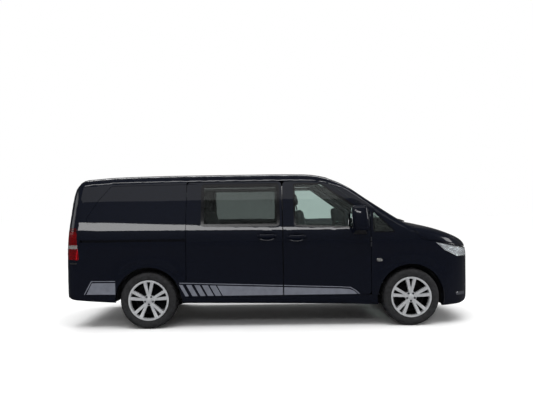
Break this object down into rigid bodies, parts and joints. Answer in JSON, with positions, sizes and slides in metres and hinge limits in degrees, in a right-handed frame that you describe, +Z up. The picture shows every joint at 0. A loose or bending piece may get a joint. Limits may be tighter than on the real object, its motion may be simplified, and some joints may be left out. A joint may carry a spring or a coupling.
{
  "type": "light commercial van",
  "caption": "Long-nosed light van with glazed front and sliding doors, steel rear quarters, a tailgate, steered front wheels and a two-row cabin.",
  "frame": {"origin": "on the ground below the middle of the van's box", "axes": "+X forwards along the van, +Y to its left, +Z up"},
  "size_m": [5.1388, 2.2448, 1.91],
  "materials": {
    "paint": "gloss",
    "glass": "tinted",
    "black_trim": "grained",
    "steel": "matt underbody coating",
    "lamp_clear": "clear",
    "lamp_red": "red lens",
    "cloth": "woven",
    "alloy": "satin",
    "tyre": "matt"
  },
  "bodies": {
    "body": {"b_pillars": "paint", "bulkhead": "steel", "dashboard": "black_trim", "engine": "steel", "exhaust": "steel", "front_bumper": "paint", "front_seats": "cloth", "front_subframe": "steel", "fuel_tank": "black_trim", "grille": "black_trim", "headlamps": "lamp_clear", "hinge_pins": "steel", "load_board": "black_trim", "platform": "steel", "quarter_panels": "paint", "rear_axle": "steel", "rear_bench": "cloth", "rear_bumper": "paint", "roof": "paint", "side_glass": "glass", "sliding_doors": "paint", "tail_lamps": "lamp_red", "wheel_liners": "black_trim", "windscreen": "glass", "windscreen_frame": "paint", "wings": "paint", "wipers": "black_trim"},
    "door_left": {"door_left": "paint", "door_glass_left": "glass", "mirror_left": "black_trim"},
    "door_right": {"door_right": "paint", "door_glass_right": "glass", "mirror_right": "black_trim"},
    "bonnet": {"bonnet": "paint"},
    "tailgate": {"tailgate": "paint", "tailgate_glass": "glass"},
    "steering_wheel": {"steering_wheel": "black_trim"},
    "knuckle_left": {"knuckle_left": "steel"},
    "knuckle_right": {"knuckle_right": "steel"},
    "wheel_front_left": {"rim_front_left": "alloy", "tyre_front_left": "tyre"},
    "wheel_front_right": {"rim_front_right": "alloy", "tyre_front_right": "tyre"},
    "wheel_rear_left": {"rim_rear_left": "alloy", "tyre_rear_left": "tyre"},
    "wheel_rear_right": {"rim_rear_right": "alloy", "tyre_rear_right": "tyre"}
  },
  "joints": [
    {"name": "door_left_hinge", "type": "hinge", "parent": "body", "child": "door_left", "pos_m": [1.191, 0.957, 1], "axis": [0, 0, -1], "range_deg": [0, 68]},
    {"name": "door_right_hinge", "type": "hinge", "parent": "body", "child": "door_right", "pos_m": [1.191, -0.957, 1], "axis": [0, 0, 1], "range_deg": [0, 68]},
    {"name": "bonnet_hinge", "type": "hinge", "parent": "body", "child": "bonnet", "pos_m": [1.72392, 0, 1.27434], "axis": [0, -1, 0], "range_deg": [0, 55]},
    {"name": "tailgate_hinge", "type": "hinge", "parent": "body", "child": "tailgate", "pos_m": [-2.45937, 0, 1.75065], "axis": [0, 1, 0], "range_deg": [0, 85]},
    {"name": "steer_left", "type": "hinge", "parent": "body", "child": "knuckle_left", "pos_m": [1.675, 0.76, 0.347], "axis": [0, 0, 1], "range_deg": [-35, 35]},
    {"name": "steer_right", "type": "hinge", "parent": "body", "child": "knuckle_right", "pos_m": [1.675, -0.76, 0.347], "axis": [0, 0, 1], "range_deg": [-35, 35]},
    {"name": "steering_column", "type": "hinge", "parent": "body", "child": "steering_wheel", "pos_m": [1.00228, -0.40488, 1.146], "axis": [-0.8829, 0, 0.4695], "range_deg": [-500, 500]},
    {"name": "wheel_front_left_spin", "type": "hinge", "parent": "knuckle_left", "child": "wheel_front_left", "pos_m": [1.675, 0.82, 0.347], "axis": [0, 1, 0], "continuous": true},
    {"name": "wheel_front_right_spin", "type": "hinge", "parent": "knuckle_right", "child": "wheel_front_right", "pos_m": [1.675, -0.82, 0.347], "axis": [0, 1, 0], "continuous": true},
    {"name": "wheel_rear_left_spin", "type": "hinge", "parent": "body", "child": "wheel_rear_left", "pos_m": [-1.525, 0.82, 0.347], "axis": [0, 1, 0], "continuous": true},
    {"name": "wheel_rear_right_spin", "type": "hinge", "parent": "body", "child": "wheel_rear_right", "pos_m": [-1.525, -0.82, 0.347], "axis": [0, 1, 0], "continuous": true}
  ],
  "couplings": [
    {"joint": "steer_right", "follows": "steer_left", "ratio": 1},
    {"joint": "steering_column", "follows": "steer_left", "ratio": 14}
  ]
}
